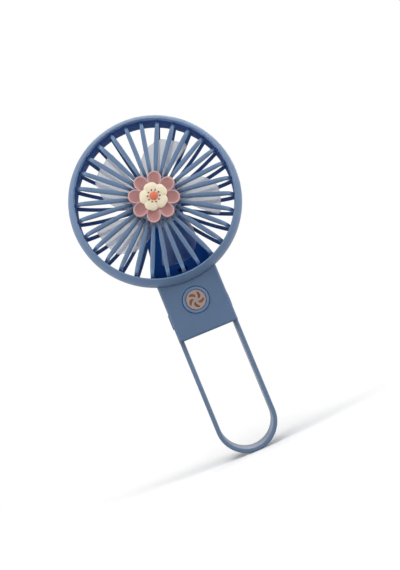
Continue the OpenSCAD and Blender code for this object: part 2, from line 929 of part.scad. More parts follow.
module band_section() {
  r = 0.7;
  for (y = [r, band_w - r]) translate([r, y]) circle(r, $fn = 32);
  for (y = [r, band_w - r]) translate([band_t - r, y]) circle(r, $fn = 32);
  translate([0, r]) square([band_t, band_w - 2 * r]);
  translate([r, 0]) square([band_t - 2 * r, band_w]);
}

// half of the same section, for the round end of a leg
module end_section() {
  intersection() {
    translate([0, -band_t / 2]) rotate(90) translate([0, -band_w / 2]) band_section();
    translate([0, -band_t]) square([band_w, 2 * band_t]);
  }
}

module loop_leg() {
  translate([half_w - band_t, -band_w / 2, half_w]) linear_extrude(pivot_z - half_w) band_section();
  translate([half_w - band_t / 2, 0, pivot_z]) rotate([0, 90, 0]) rotate([0, 0, 90])
    rotate_extrude(angle = 180, $fn = 96) end_section();
}

module loop_handle() {
  color([0.38, 0.47, 0.6]) at_lip() translate([0, pivot_d, 0]) difference() {
    union() {
      both_sides() loop_leg();
      translate([0, 0, half_w]) rotate([90, 0, 0]) rotate([0, 0, 180]) rotate_extrude(angle = 180, $fn = 128)
        translate([half_w - band_t, -band_w / 2]) band_section();
    }
    translate([-half_w - 1, 0, pivot_z]) rotate([0, 90, 0]) cylinder(r = pin_r + 0.06, h = housing_w + 2);
  }
}

module hinge_pin() {
  color([0.5, 0.58, 0.7]) at_lip() translate([0, pivot_d, pivot_z]) rotate([0, 90, 0]) {
    translate([0, 0, inner_x - 1]) cylinder(r = pin_r, h = half_w + 0.1 - inner_x + 1);
    translate([0, 0, half_w + 0.05]) cylinder(r = pin_head_r, h = pin_head_t);
  }
}

module hinge_pin_right() {
  hinge_pin();
}

module hinge_pin_left() {
  mirror([1, 0, 0]) hinge_pin();
}

module friction_washer() {
  color([0.55, 0.56, 0.58]) at_lip()
    translate([pocket_x, pivot_d, pivot_z]) rotate([0, 90, 0]) difference() {
      cylinder(r = pin_head_r, h = 0.28);
      translate([0, 0, -1]) cylinder(r = pin_r + 0.1, h = 3);
    }
}

module friction_washer_right() {
  friction_washer();
}

module friction_washer_left() {
  mirror([1, 0, 0]) friction_washer();
}

front_grille();
rear_shell();
housing_front();
back_cover();
flower_badge();
blossom_petals();
blossom_eye();
stamen_dots();
impeller();
motor_shaft();
armature_core();
armature_windings();
commutator();
motor_can();
motor_end_cap();
motor_magnets();
motor_bush_front();
motor_bush_rear();
motor_terminals();
motor_lead_red();
motor_lead_black();
circuit_board();
board_chips();
tact_switch();
switch_plunger();
button_cap();
button_inlay();
usb_shell();
usb_tongue();
battery_cell();
battery_pad();
battery_lead_red();
battery_lead_black();
cover_screws();
loop_handle();
hinge_pin_left();
hinge_pin_right();
friction_washer_left();
friction_washer_right();
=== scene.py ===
"""Looks of a rechargeable mini fan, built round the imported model's frame.

Shapes are worked out in millimetres in a local frame and placed in metres in the model's frame.
"""
import json
import math

import bmesh
import bpy
from mathutils import Matrix, Vector


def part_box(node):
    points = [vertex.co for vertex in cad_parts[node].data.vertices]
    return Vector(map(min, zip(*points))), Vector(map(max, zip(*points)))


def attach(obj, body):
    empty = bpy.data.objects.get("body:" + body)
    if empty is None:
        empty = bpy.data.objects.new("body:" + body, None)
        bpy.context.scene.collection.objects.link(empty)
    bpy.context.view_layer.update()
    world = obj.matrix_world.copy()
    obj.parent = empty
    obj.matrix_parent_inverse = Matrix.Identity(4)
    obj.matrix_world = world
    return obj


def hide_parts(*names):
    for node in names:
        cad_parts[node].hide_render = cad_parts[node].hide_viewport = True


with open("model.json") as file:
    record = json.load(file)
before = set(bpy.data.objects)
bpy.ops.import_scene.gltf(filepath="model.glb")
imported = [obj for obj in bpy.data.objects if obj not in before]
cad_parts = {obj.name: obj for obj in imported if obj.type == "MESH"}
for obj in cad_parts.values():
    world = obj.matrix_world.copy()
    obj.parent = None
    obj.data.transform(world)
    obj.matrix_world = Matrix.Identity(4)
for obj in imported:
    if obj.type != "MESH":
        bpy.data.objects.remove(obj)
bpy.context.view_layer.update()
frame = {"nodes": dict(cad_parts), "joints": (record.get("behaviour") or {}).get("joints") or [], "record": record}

NODES = frame["nodes"]
JOINTS = {joint["name"]: joint for joint in frame["joints"]}
MM = 0.001
TOP = math.pi / 2

# places that the frame gives
RING_SPLIT = 10.0
LIP_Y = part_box("front_grille")[1].y - RING_SPLIT * MM
HEAD_Z = JOINTS["fan_spin"]["pos_m"][2]
BUTTON_Z = sum(corner.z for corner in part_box("button_cap")) / 2

# meshes: steps round turned shapes, angles in degrees over which edges stay sharp, and the
# distance in millimetres within which points become one
ROUND_STEPS = 96
RIM_STEPS = 180
FLOWER_STEPS = 72
BLOSSOM_STEPS = 60
EYE_STEPS = 48
NODE_CREASE = 28
PIECE_CREASE = 32
INLAY_CREASE = 30
SOFT_CREASE = 50
DOT_CREASE = 80
WELD = 1e-4

# front cage, in millimetres; the arcs of its section are in degrees, and the hub's edge is in steps
# inwards and back from its front corner
RING_R = 46.6
RING_GAP = 0.12
RING_BACK_ROUND = 0.2
NOSE_R = 15.0
LIP_R = 42.2
LIP_EASE = 0.7
LIP_BACK_ROUND = 0.25
LIP_ARC = range(180, 99, -10)
NOSE_ARC = range(41, 1, -4)
BARREL_R = 42.9
ROOT_DEPTH = 7.4
SPIGOT_R = 44.5
SPIGOT_DEPTH = 8.0
HUB_RISE = 2.0
HUB_R = 12.0
HUB_EDGE = ((1.2, 0.1), (0.3, 0.5), (0.0, 1.3))
DOME_R = 290.0
ROLL_CENTRE = (LIP_R - 16.6, HUB_RISE - 17.1)
ROLL_R = 20.0
CROWN_EASE = 0.9
SPOKE_COUNT = 30
SPOKE_THICK = 2.8
SPOKE_WIDTHS = ((10.5, 1.6), (26.0, 2.4), (34.0, 2.4), (43.0, 1.7))
SPOKE_BEND_R = 36.0
SPOKE_FRONT_ROUND = 0.75
SPOKE_BACK_ROUND = 0.5
SLOPE_STEP = 0.05

# bead in the seam between the ring and the housing, in millimetres and degrees
BEAD_FRONT = 7.3
BEAD_BACK = RING_SPLIT - 0.1
BEAD_R = 46.74
BEAD_LIFT = 0.01
BEAD_HALF = 20.3

# fan wheel, in millimetres and degrees; edges are in shares of a blade's width
WHEEL_R = 35.2
WHEEL_HUB_R = 13.5
WHEEL_HUB_WALL = 1.1
WHEEL_HUB_ROOF = 1.5
WHEEL_HUB_FRONT = 6.5
WHEEL_HUB_BACK = 16.5
WHEEL_HUB_ROUND = 2.5
WHEEL_RIM_ROUND = 0.3
WHEEL_ROOF_ROUND = 1.0
WHEEL_BOSS_R = 3.2
WHEEL_BOSS_BACK = 11.8
WHEEL_BOSS_ROOT_ROUND = 0.5
WHEEL_BOSS_ROUND = 0.2
WHEEL_BORE_R = 1.0
WHEEL_BORE_FRONT = 7.6
BLADE_COUNT = 5
BLADE_ROOT_R = 12.9
BLADE_CORNER_R = 33.0
BLADE_THICK = 1.1
BLADE_THIN = 0.3
BLADE_FRONT = 8.7
BLADE_BACK = 16.0
BLADE_UNTWIST = 0.12
BLADE_CAMBER = 1.7
BLADE_START = 38.2
BLADE_CURL = 11.0
BLADE_CURL_R = 35.0
BLADE_CURL_LENGTH = 22.0
BLADE_CURL_POWER = 2.2
BLADE_START_NIP = 3.0
BLADE_START_NIP_R = WHEEL_R - 1.4
BLADE_END = 70.2
BLADE_SWEEP = 3.69
BLADE_SWEEP_POWER = 0.723
BLADE_END_NIP = 8.0
BLADE_EDGE_STEPS = (0.0, 0.012, 0.04)
BLADE_EDGE = BLADE_EDGE_STEPS[-1]
BLADE_TIP_STEPS = (1.8, 1.4, 1.0, 0.6, 0.3, 0.1, 0.0)
BLADE_TIP_EASE = 0.6
WIDTH_STEP = 0.01
RADIUS_STEP = 0.2

# badge, in millimetres; profiles have (share of the outline, height) from a petal's middle over
# its edge to its underside
FLOWER_R = 13.65
FLOWER_BASE = 2.2
FLOWER_DISC_R = 8.4
PETAL_COUNT = 8
PETAL_RISE = 2.6
PETAL_LONG = 4.7
PETAL_WIDE = 3.72
PETAL_TAPER = 0.12
PETAL_AROUND = 40
PETAL_PROFILE = (
    (0.06, 1.75), (0.3, 1.78), (0.55, 1.90), (0.70, 2.12), (0.80, 2.40), (0.87, 2.56),
    (0.91, PETAL_RISE), (0.95, 2.52), (0.98, 2.34), (1.0, 2.05), (1.0, 0.5), (0.985, 0.2),
    (0.95, 0.0), (0.3, 0.0),
)
DISC_THICK = 1.7
DISC_BACK_ROUND = 0.2
DISC_FRONT_ROUND = 0.6
BLOSSOM_R = 7.75
BLOSSOM_BASE = 4.8
BLOSSOM_RISE = 2.0
BLOSSOM_DISC_R = 4.0
BLOSSOM_COUNT = 5
BLOSSOM_LONG = 3.9
BLOSSOM_WIDE = 3.75
BLOSSOM_TAPER = 0.1
BLOSSOM_NOTCH = 0.35
NOTCH_SPREAD = 0.16
BLOSSOM_AROUND = 56
BLOSSOM_PROFILE = (
    (0.08, BLOSSOM_RISE), (0.35, 1.94), (0.6, 1.76), (0.78, 1.48), (0.9, 1.14), (0.97, 0.8),
    (1.0, 0.5), (1.0, 0.3), (0.97, 0.1), (0.9, 0.0), (0.3, 0.0),
)
EYE_BASE = BLOSSOM_BASE + DISC_THICK
EYE_R = 2.3
EYE_RISE = 1.3
DOT_R = 0.44
DOT_FLAT = 0.8
DOT_RING_R = EYE_R + 0.9

# button, in millimetres and, for the sign's curl, radians
INLAY_R = 5.2
INLAY_FRONT = -6.3
INLAY_BACK = INLAY_FRONT - 0.9
BEZEL_R = 5.74
BEZEL_INNER_R = INLAY_R + 0.02
BEZEL_FRONT = -6.42
BEZEL_FOOT = -6.8
SEAT_INNER_R = 7.06
SEAT_R = 7.44
SEAT_FRONT = -7.5
SEAT_BACK = -8.7
SIGN_COUNT = 5
SIGN_STEPS = 14
SIGN_DEPTH = 0.4
SIGN_INNER_R = 1.35
SIGN_LENGTH = 3.0
SIGN_CURL = 0.75
SIGN_CURL_POWER = 1.4
SIGN_END_HALF = 0.12
SIGN_NECK_HALF = 0.2
SIGN_SWELL = 0.85
SIGN_SWELL_POWERS = (1.6, 0.7)

# materials: the part of a noise that is used, how far the normals of flats and edges agree with
# rounded ones, and how much of the milky plastic is dense at edges and clear inside
NOISE_SPAN = (0.3, 0.7)
EDGE_SPAN = (0.995, 0.9)
BEVEL_SAMPLES = 6
MILK_EDGES = 0.5
MILK_CLEAR = 0.45

# where the painted shade on the front ring's inner wall and the painted highlight on the spokes'
# ends lie, in millimetres from the head's axis or behind the lip
WALL_START = (42.0, 42.2)
WALL_END = (42.8, 42.3)
WALL_DEPTH = (1.0, 3.0)
TIP_START = (36.5, 40.5)
TIP_END = (42.2, 42.0)
TIP_HIGHLIGHT = 1.5

# where painted shade changes on the rear shell, in millimetres as above; its spine gets wider from
# the axis down to its foot
SPINE_FOOT = -44.6
SPINE_HALVES = (10.5, 16.7)
SPINE_EDGE = (0.0, 0.4)
SPINE_TOP = (-0.5, 0.0)
SPINE_SIDE_DEPTH = (18.7, 19.3)
CUP_EDGE = (14.6, 15.0)
REAR_RING = (43.6, 44.4)
INSIDE_DULL = 0.8

# where the painted highlight on the petals' rims lies, in millimetres behind the highest points of
# their rims
HIGHLIGHT_DROP = (0.18, 0.05)

# colours
BLUE = (0.088, 0.142, 0.236)
# painted shade: a darker copy of the blue for the housing's front
HOUSING_SHADE_BLUE = (0.067, 0.111, 0.190)
LOOP_BLUE = (0.084, 0.130, 0.205)
# painted shade: deeper blues inside the head, on the rear spokes, the ring's inner wall and the spine's front, and
# in the button's groove
SHADE_DEEP_BLUE = (0.070, 0.145, 0.360)
WALL_SHADE_BLUE = (0.025, 0.090, 0.360)
SHADE_NAVY = (0.010, 0.088, 0.370)
# the back cover's navy, which is also painted shade on the spine's sides
COVER_AND_SHADE_NAVY = (0.024, 0.056, 0.140)
MILK = (0.66, 0.68, 0.72)
MILK_THROUGH = (0.80, 0.83, 0.86)
PINK = (0.325, 0.158, 0.153)
# painted highlight on the petals' rims
PETAL_HIGHLIGHT_PINK = (0.46, 0.305, 0.31)
CREAM = (0.60, 0.53, 0.40)
CORAL = (0.50, 0.120, 0.070)
BROWN = (0.10, 0.045, 0.03)
BEIGE = (0.252, 0.182, 0.160)
SIGN_BROWN = (0.150, 0.078, 0.055)
BLACK = (0.02, 0.02, 0.022)
GREEN = (0.02, 0.11, 0.05)
STEEL = (0.60, 0.61, 0.63)
IRON = (0.16, 0.16, 0.17)
COPPER = (0.62, 0.26, 0.12)
BRONZE = (0.62, 0.44, 0.2)
WIRE_RED = (0.5, 0.02, 0.015)
WIRE_BLACK = (0.015, 0.015, 0.016)
FOIL = (0.55, 0.57, 0.6)
FOAM = (0.03, 0.03, 0.032)
WHITE = (1.0, 1.0, 1.0)
PAPER_LOW = (0.70, 0.70, 0.70)
PAPER_HIGH = (0.74, 0.74, 0.74)
PAPER_LIT = (0.60, 0.60, 0.60)

# stage, in metres and watts: each lamp has a name, place, size and power
FLOOR_HALF = 4.0
FLOOR_FADE = (0.05, 0.30)
AMBIENT = 0.28
LAMP_AIM = Vector((0, 0, 0.11))
LAMPS = (
    ("key", (-0.05, -0.60, 0.80), 0.5, 1.5),
    ("overhead", (-0.05, -0.15, 1.05), 0.6, 5.5),
    ("left", (-0.75, -0.26, 0.35), 0.4, 4.6),
    ("right", (0.75, -0.26, 0.35), 0.4, 5.6),
    ("low", (-0.30, -0.55, 0.03), 0.3, 0.6),
    ("back", (0.20, 0.80, 0.60), 0.8, 3.0),
)

# camera, from the photograph's perspective
LEAN = math.radians(22.4)
EYE = Vector((-0.008, LIP_Y - 0.400, HEAD_Z - 0.075))
LOOK_AT = Vector((0.00470, LIP_Y, HEAD_Z - 0.05127))
WIDTH_AT_LIP = 0.208
SENSOR = 36.0
NEAREST = 0.01


def axis_frame(height):
    """Local x right, y up and z forwards from the lip, in millimetres, on an axis at a height."""
    turn = Matrix(((1, 0, 0), (0, 0, -1), (0, 1, 0))).to_4x4()
    return Matrix.Translation((0, LIP_Y, height)) @ turn @ Matrix.Scale(MM, 4)


ON_HEAD = axis_frame(HEAD_Z)
ON_BUTTON = axis_frame(BUTTON_Z)


# shapes

def polar(radius, angle):
    return radius * math.cos(angle), radius * math.sin(angle)


def turns(count, first=0.0):
    """Angles of equal steps once round, from the first."""
    return [first + 2 * math.pi * k / count for k in range(count)]


def spread(start, end, steps):
    """Values in equal steps from start to end, with both."""
    return [start + (end - start) * k / steps for k in range(steps + 1)]


def rounded(corners, steps=5):
    """The outline through (x, y, radius) corners, with an arc at each corner."""
    points = []
    for i, (x, y, radius) in enumerate(corners):
        here = Vector((x, y))
        before = (Vector(corners[i - 1][:2]) - here).normalized()
        after = (Vector(corners[(i + 1) % len(corners)][:2]) - here).normalized()
        if radius <= 0:
            points.append((x, y))
            continue
        half = before.angle(after) / 2
        centre = here + (before + after).normalized() * (radius / math.sin(half))
        start = here + before * (radius / math.tan(half)) - centre
        end = here + after * (radius / math.tan(half)) - centre
        sweep = start.angle_signed(end)
        for k in range(steps + 1):
            arm = start.copy()
            arm.rotate(Matrix.Rotation(-sweep * k / steps, 2))
            points.append(tuple(centre + arm))
    return points


def lathe(bm, outline, steps=ROUND_STEPS):
    """Turns a closed outline of (radius, forwards) points about the local z axis."""
    rings = [[bm.verts.new((*polar(r, angle), f)) for r, f in outline] for angle in turns(steps)]
    count = len(outline)
    for here, there in zip(rings, rings[1:] + rings[:1]):
        for i in range(count):
            j = (i + 1) % count
            bm.faces.new((here[i], there[i], there[j], here[j]))
    bmesh.ops.remove_doubles(bm, verts=[v for ring in rings for v in ring], dist=WELD)


def strip(bm, here, there, closed=True):
    """Faces between two rows of points, which are rings where closed."""
    count = len(here)
    for i in range(count if closed else count - 1):
        j = (i + 1) % count
        bm.faces.new((here[i], here[j], there[j], there[i]))


def loft(bm, rings):
    """A closed skin over rings of points, with a face on each end."""
    rows = [[bm.verts.new(p) for p in ring] for ring in rings]
    for here, there in zip(rows, rows[1:]):
        strip(bm, here, there)
    bm.faces.new(rows[0][::-1])
    bm.faces.new(rows[-1])


def shade_smooth(mesh, crease):
    for polygon in mesh.polygons:
        polygon.use_smooth = True
    mesh.set_sharp_from_angle(angle=math.radians(crease))


def put(name, data):
    """A new object in the scene."""
    obj = bpy.data.objects.new(name, data)
    bpy.context.scene.collection.objects.link(obj)
    return obj


def piece(name, bm, place, material, body, replaces=(), crease=PIECE_CREASE):
    """A mesh piece in the model's frame that rides on a body."""
    bm.transform(place)
    bmesh.ops.recalc_face_normals(bm, faces=bm.faces)
    mesh = bpy.data.meshes.new(name)
    bm.to_mesh(mesh)
    bm.free()
    mesh.materials.append(material)
    shade_smooth(mesh, crease)
    obj = put(name, mesh)
    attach(obj, body)
    if replaces:
        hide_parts(*replaces)


# materials

class Tree:
    """The node tree of a material or a world, with short calls to add and join nodes."""

    def __init__(self, owner, output):
        owner.use_nodes = True
        self.owner = owner
        self.tree = owner.node_tree
        self.surface = self.tree.nodes[output].inputs["Surface"]

    def add(self, kind, **values):
        node = self.tree.nodes.new(kind)
        for key, value in values.items():
            setattr(node, key, value)
        return node

    def join(self, source, target):
        self.tree.links.new(source, target)

    def fill(self, sockets, values):
        """Joins each value that is a socket, and sets each plain one."""
        for socket, value in zip(sockets, values):
            if isinstance(value, bpy.types.NodeSocket):
                self.join(value, socket)
            else:
                socket.default_value = value

    def math(self, operation, first, second=0.0):
        node = self.add("ShaderNodeMath", operation=operation)
        self.fill(node.inputs[:2], (first, second))
        return node.outputs[0]

    def mix(self, share, first, second):
        """A mix of two shaders."""
        node = self.add("ShaderNodeMixShader")
        self.fill(node.inputs, (share, first, second))
        return node.outputs[0]

    def rays(self):
        """1 for rays from the camera, and 1 for these and for rays by way of metal or glass."""
        path = self.add("ShaderNodeLightPath").outputs
        seen = path["Is Camera Ray"]
        for ray in ("Is Glossy Ray", "Is Transmission Ray"):
            seen = self.math("MAXIMUM", seen, path[ray])
        return path["Is Camera Ray"], seen


class Material(Tree):
    """A new material. Noise scales are per metre, and lengths are in metres."""

    def __init__(self, name):
        super().__init__(bpy.data.materials.new(name), "Material Output")
        self.shader = self.tree.nodes["Principled BSDF"]
        self.place = self.add("ShaderNodeTexCoord").outputs["Object"]

    def noise(self, scale, detail=3, rough=0.55):
        node = self.add("ShaderNodeTexNoise")
        node.inputs["Scale"].default_value = scale
        node.inputs["Detail"].default_value = detail
        node.inputs["Roughness"].default_value = rough
        self.join(self.place, node.inputs["Vector"])
        return node.outputs["Fac"]

    def ramp(self, source, low, high, to_low=0.0, to_high=1.0):
        node = self.add("ShaderNodeMapRange")
        keys = ("Value", "From Min", "From Max", "To Min", "To Max")
        self.fill([node.inputs[key] for key in keys], (source, low, high, to_low, to_high))
        return node.outputs["Result"]

    def between(self, source, span):
        """0 to 1 between two lengths in millimetres."""
        return self.ramp(source, span[0] * MM, span[1] * MM)

    def mottle(self, scale, detail=4, low=0.0, high=1.0):
        """Slow changes between two values."""
        return self.ramp(self.noise(scale, detail), *NOISE_SPAN, low, high)

    def blend(self, factor, first, second):
        """A mix of two colours, each a tuple or a socket."""
        node = self.add("ShaderNodeMix", data_type="RGBA")
        self.fill((node.inputs[0], node.inputs[6], node.inputs[7]), (factor, first, second))
        return node.outputs[2]

    def tint(self, factor, colour, low, high):
        """A colour between two shades of itself."""
        return self.blend(factor, shade(colour, low), shade(colour, high))

    def bump(self, height, strength, depth, soft=0.0):
        """Fine relief, on a surface whose edges look rounded by the soft radius."""
        node = self.add("ShaderNodeBump")
        node.inputs["Strength"].default_value = strength
        node.inputs["Distance"].default_value = depth
        self.join(height, node.inputs["Height"])
        if soft:
            self.join(self.bevel(soft), node.inputs["Normal"])
        self.join(node.outputs["Normal"], self.shader.inputs["Normal"])

    def bevel(self, radius):
        node = self.add("ShaderNodeBevel", samples=BEVEL_SAMPLES)
        node.inputs["Radius"].default_value = radius
        return node.outputs["Normal"]

    def edges(self, radius):
        """1 on edges that stand out and 0 on flats."""
        flat = self.add("ShaderNodeNewGeometry")
        dot = self.add("ShaderNodeVectorMath", operation="DOT_PRODUCT")
        self.fill(dot.inputs[:2], (self.bevel(radius), flat.outputs["Normal"]))
        return self.ramp(dot.outputs["Value"], *EDGE_SPAN)

    def set(self, **values):
        """Joins or sets the shader's own sockets."""
        sockets = [self.shader.inputs[key.replace("_", " ")] for key in values]
        self.fill(sockets, values.values())


def shade(colour, factor=1.0):
    return tuple(min(1.0, c * factor) for c in colour) + (1.0,)


def moulded(name, colour, rough=0.42, grain=0.12, worn_and_lit=1.2, soft=0.0004, gloss=0.3, over=None):
    """Moulded plastic: slow tone changes, a fine spark-eroded grain and soft, paler edges.

    The paler edges are partly rubbed wear and partly painted highlight.

    over takes the material and a colour and gives back a colour and where the surface is dull,
    for painted shade and painted highlights that lie at given places.
    """
    n = Material(name)
    body = n.tint(n.mottle(scale=38), colour, low=0.94, high=1.06)
    matt = n.mottle(scale=120, low=rough - 0.05, high=rough + 0.07)
    if over:
        body, dull = over(n, body)
        matt = n.math("MAXIMUM", matt, dull)
    # paler edges: partly rubbed wear, partly painted highlight
    rubbed_and_lit = n.ramp(n.noise(scale=260), low=0.35, high=0.75, to_low=0.25)
    rim = n.math("MULTIPLY", n.edges(radius=0.0005), rubbed_and_lit)
    n.bump(n.noise(scale=4200, detail=2, rough=0.6), strength=grain, depth=0.00004, soft=soft)
    n.set(Base_Color=n.blend(rim, body, shade(colour, worn_and_lit)), Roughness=matt,
          Specular_IOR_Level=gloss)
    return n.owner


def from_axis(n):
    """Sockets for a point's x, depth behind the lip, height over the head's axis and radius."""
    split = n.add("ShaderNodeSeparateXYZ")
    n.join(n.place, split.inputs[0])
    x, y, z = split.outputs
    depth, up = n.math("SUBTRACT", y, LIP_Y), n.math("SUBTRACT", z, HEAD_Z)
    square = n.math("ADD", n.math("MULTIPLY", x, x), n.math("MULTIPLY", up, up))
    return x, depth, up, n.math("SQRT", square)


def wall_shade_tip_highlight(n, colour):
    """Painted shade makes the inside of the front ring a deeper, duller blue.

    A painted highlight makes the spokes' ends paler.
    """
    _, depth, _, radius = from_axis(n)
    wall = n.math("MULTIPLY", n.between(radius, WALL_START), n.between(radius, WALL_END))
    wall = n.math("MULTIPLY", wall, n.between(depth, WALL_DEPTH))
    tips = n.math("MULTIPLY", n.between(radius, TIP_START), n.between(radius, TIP_END))
    colour = n.blend(tips, colour, shade(BLUE, TIP_HIGHLIGHT))
    return n.blend(wall, colour, shade(WALL_SHADE_BLUE)), wall


def spine_shade(n, colour):
    """Painted shade: the spine's front is a deep blue and its sides a duller navy.

    The rear spokes get a paler painted-shade blue, and the ring's outside has the front's blue.
    """
    x, depth, up, radius = from_axis(n)
    half = n.ramp(up, 0.0, SPINE_FOOT * MM, SPINE_HALVES[0] * MM, SPINE_HALVES[1] * MM)
    beside = n.between(n.math("SUBTRACT", n.math("ABSOLUTE", x), half), SPINE_EDGE)
    above = n.between(up, SPINE_TOP)
    beyond = n.between(radius, CUP_EDGE)
    spokes = n.math("MULTIPLY", n.math("MAXIMUM", beside, above), beyond)
    ring = n.math("MULTIPLY", spokes, n.between(radius, REAR_RING))
    spine = n.blend(n.between(depth, SPINE_SIDE_DEPTH), colour, shade(COVER_AND_SHADE_NAVY))
    inside = n.blend(spokes, spine, shade(SHADE_DEEP_BLUE))
    return n.blend(ring, inside, shade(BLUE)), n.math("SUBTRACT", INSIDE_DULL, ring)


def petal_rim_highlight(n, colour):
    """A painted highlight makes the raised rims of the flower's petals paler."""
    _, depth, _, _ = from_axis(n)
    span = [drop - FLOWER_BASE - PETAL_RISE for drop in HIGHLIGHT_DROP]
    return n.blend(n.between(depth, span), colour, shade(PETAL_HIGHLIGHT_PINK)), 0.0


def milky(name, colour, through):
    """Cloudy plastic that light goes through softly, denser along its edges."""
    n = Material(name)
    tone = n.mottle(scale=55)
    n.set(Base_Color=n.tint(tone, colour, low=0.95, high=1.05),
          Roughness=n.mottle(scale=140, detail=3, low=0.26, high=0.36))
    n.bump(n.noise(scale=900, detail=2), strength=0.05, depth=0.00004, soft=0.0003)
    edges = n.math("MULTIPLY", n.edges(radius=0.0006), MILK_EDGES)
    cloud = n.math("MAXIMUM", n.mottle(scale=90, detail=3, high=0.03), edges)
    soft = n.add("ShaderNodeBsdfTranslucent")
    n.join(n.tint(tone, through, low=0.98, high=1.02), soft.inputs["Color"])
    clear = n.add("ShaderNodeBsdfTransparent")
    inner = n.mix(MILK_CLEAR, soft.outputs[0], clear.outputs[0])
    n.join(n.mix(cloud, inner, n.shader.outputs[0]), n.surface)
    return n.owner


def metal(name, colour, rough=0.28, stretch=(1, 1, 1)):
    """Plated or turned metal with fine drawn lines."""
    n = Material(name)
    mapping = n.add("ShaderNodeMapping")
    mapping.inputs["Scale"].default_value = stretch
    n.join(n.place, mapping.inputs["Vector"])
    n.place = mapping.outputs["Vector"]
    n.set(Base_Color=n.tint(n.mottle(scale=900), colour, low=0.88, high=1.08),
          Roughness=n.mottle(scale=1500, detail=3, low=rough - 0.08, high=rough + 0.12),
          Metallic=1.0)
    n.bump(n.noise(scale=3000, detail=2), strength=0.08, depth=0.00003)
    return n.owner


MATERIALS = {
    name: make(name, colour, **look) for name, make, colour, look in (
        ("shell_blue", moulded, BLUE, {}),
        # the rear shell's navy and deeper blues inside are painted shade; its ring's outside keeps the front's
        # blue
        ("shell_navy", moulded, SHADE_NAVY, {"gloss": 0.1, "over": spine_shade}),
        ("blade_white", milky, MILK, {"through": MILK_THROUGH}),
        ("petal_pink", moulded, PINK, {"rough": 0.55, "worn_and_lit": 1.45, "over": petal_rim_highlight}),
        ("petal_cream", moulded, CREAM, {"rough": 0.6, "worn_and_lit": 1.1}),
        ("coral", moulded, CORAL, {"rough": 0.5}),
        ("brown", moulded, BROWN, {"rough": 0.4}),
        ("button_beige", moulded, BEIGE, {"rough": 0.5, "worn_and_lit": 1.15, "soft": 0.0001}),
        ("black_plastic", moulded, BLACK, {"rough": 0.4}),
        ("board_green", moulded, GREEN, {"rough": 0.3, "grain": 0.05}),
        ("steel", metal, STEEL, {}),
        ("iron", metal, IRON, {"rough": 0.45}),
        ("copper_wire", metal, COPPER, {"rough": 0.3, "stretch": (1, 6, 1)}),
        ("bronze", metal, BRONZE, {"rough": 0.35}),
        ("wire_red", moulded, WIRE_RED, {"rough": 0.45, "grain": 0.03}),
        ("wire_black", moulded, WIRE_BLACK, {"rough": 0.45, "grain": 0.03}),
        ("cell_foil", metal, FOIL, {"rough": 0.32, "stretch": (1, 1, 5)}),
        ("foam", moulded, FOAM, {"rough": 0.9, "grain": 0.6}),
    )
}


def dress_nodes():
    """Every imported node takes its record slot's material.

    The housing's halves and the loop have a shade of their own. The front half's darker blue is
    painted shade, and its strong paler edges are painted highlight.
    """
    own = {
        "back_cover": moulded("cover_navy", COVER_AND_SHADE_NAVY),
        "housing_front": moulded("housing_blue", HOUSING_SHADE_BLUE, worn_and_lit=2.0),
        "loop_handle": moulded("loop_blue", LOOP_BLUE),
    }
    for row in frame["record"]["subparts"]:
        obj = NODES[row["node"]]
        obj.data.materials.clear()
        obj.data.materials.append(own.get(row["node"], MATERIALS[row["material_slot"]]))
        shade_smooth(obj.data, NODE_CREASE)


# front cage

def crown(r):
    """Height of the grille's front at a radius: a shallow dome that rolls back inside the lip."""
    dome = HUB_RISE - r * r / (2 * DOME_R)
    roll = ROLL_CENTRE[1] + math.sqrt(max(ROLL_R ** 2 - (r - ROLL_CENTRE[0]) ** 2, 0.0))
    share = min(max(0.5 + 0.5 * (roll - dome) / CROWN_EASE, 0.0), 1.0)
    return roll * (1 - share) + dome * share - CROWN_EASE * share * (1 - share) / 2


def spoke_width(r):
    """Width at a radius, eased between the widths that are given."""
    for (r0, w0), (r1, w1) in zip(SPOKE_WIDTHS, SPOKE_WIDTHS[1:]):
        if r <= r1:
            part = (r - r0) / (r1 - r0)
            part = part * part * (3 - 2 * part)
            return w0 + (w1 - w0) * part
    return SPOKE_WIDTHS[-1][1]


def rim_outline():
    """Section of the front ring: a round nose, a narrow lip and the step for the rear ring."""
    def arc(x, y, radius, angles):
        points = [polar(radius, math.radians(angle)) for angle in angles]
        return [(x + across, y + forwards, 0) for across, forwards in points]

    lip = arc(LIP_R + LIP_EASE, -LIP_EASE, LIP_EASE, LIP_ARC)
    nose = arc(RING_R - NOSE_R, -RING_SPLIT, NOSE_R, NOSE_ARC)
    end = -RING_SPLIT + RING_GAP
    return rounded([
        (BARREL_R, -ROOT_DEPTH, 0), (LIP_R, -ROOT_DEPTH, LIP_BACK_ROUND), *lip, *nose,
        (RING_R, end, RING_BACK_ROUND), (SPIGOT_R, end, 0),
        (SPIGOT_R, -SPIGOT_DEPTH, 0), (BARREL_R, -SPIGOT_DEPTH, 0),
    ])


def spoke(bm, angle):
    """A bar with rounded edges that follows the grille's front."""
    out = Vector((*polar(1, angle), 0))
    side = Vector((-out.y, out.x, 0))
    start, end = SPOKE_WIDTHS[0][0], SPOKE_WIDTHS[-1][0]
    rings = []
    for r in spread(start, SPOKE_BEND_R, steps=10) + spread(SPOKE_BEND_R, end, steps=14)[1:]:
        slope = (crown(r + SLOPE_STEP) - crown(r - SLOPE_STEP)) / (2 * SLOPE_STEP)
        along = (out + Vector((0, 0, slope))).normalized()
        up = along.cross(side).normalized()
        half = spoke_width(r) / 2
        front, back = SPOKE_FRONT_ROUND * half, SPOKE_BACK_ROUND * half
        section = rounded([(-half, 0, front), (half, 0, front),
                           (half, -SPOKE_THICK, back), (-half, -SPOKE_THICK, back)], steps=4)
        top = out * r + Vector((0, 0, crown(r)))
        rings.append([top + side * u + up * v for u, v in section])
    loft(bm, rings)


